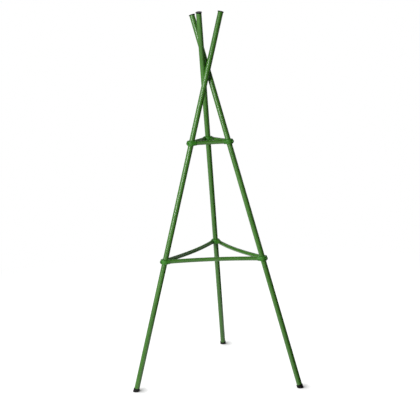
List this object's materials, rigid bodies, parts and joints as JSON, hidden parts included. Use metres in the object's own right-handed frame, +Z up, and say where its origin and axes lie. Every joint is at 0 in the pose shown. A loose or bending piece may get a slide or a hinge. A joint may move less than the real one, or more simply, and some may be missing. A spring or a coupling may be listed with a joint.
{
  "type": "pyramid plant support",
  "caption": "Tripod plant support of crossing coated tubes, tied by a lower and an upper ring of inward-bowed bars.",
  "frame": {"origin": "centre of the footprint's bounding box, on the ground under the feet", "axes": "+Z up; the back leg's foot lies towards +Y and the two front feet towards -Y, one on each side of the YZ plane"},
  "size_m": [0.671, 0.5846, 1.4572],
  "materials": {
    "coated_tube": "satin plastic coating",
    "moulded_green": "satin moulded plastic",
    "black_plastic": "moulded plastic",
    "painted_screw": "painted steel"
  },
  "bodies": {
    "root": {"leg_tube_back": "coated_tube", "leg_tube_front_left": "coated_tube", "leg_tube_front_right": "coated_tube", "top_cap_back": "black_plastic", "top_cap_front_left": "black_plastic", "top_cap_front_right": "black_plastic", "foot_cap_back": "black_plastic", "foot_cap_front_left": "black_plastic", "foot_cap_front_right": "black_plastic", "lower_bar_back_left": "coated_tube", "lower_bar_front": "coated_tube", "lower_bar_back_right": "coated_tube", "upper_bar_back_left": "coated_tube", "upper_bar_front": "coated_tube", "upper_bar_back_right": "coated_tube", "lower_connector_back": "moulded_green", "lower_connector_front_left": "moulded_green", "lower_connector_front_right": "moulded_green", "upper_connector_back": "moulded_green", "upper_connector_front_left": "moulded_green", "upper_connector_front_right": "moulded_green", "lower_screw_back": "painted_screw", "lower_screw_front_left": "painted_screw", "lower_screw_front_right": "painted_screw", "upper_screw_back": "painted_screw", "upper_screw_front_left": "painted_screw", "upper_screw_front_right": "painted_screw"}
  },
  "joints": []
}
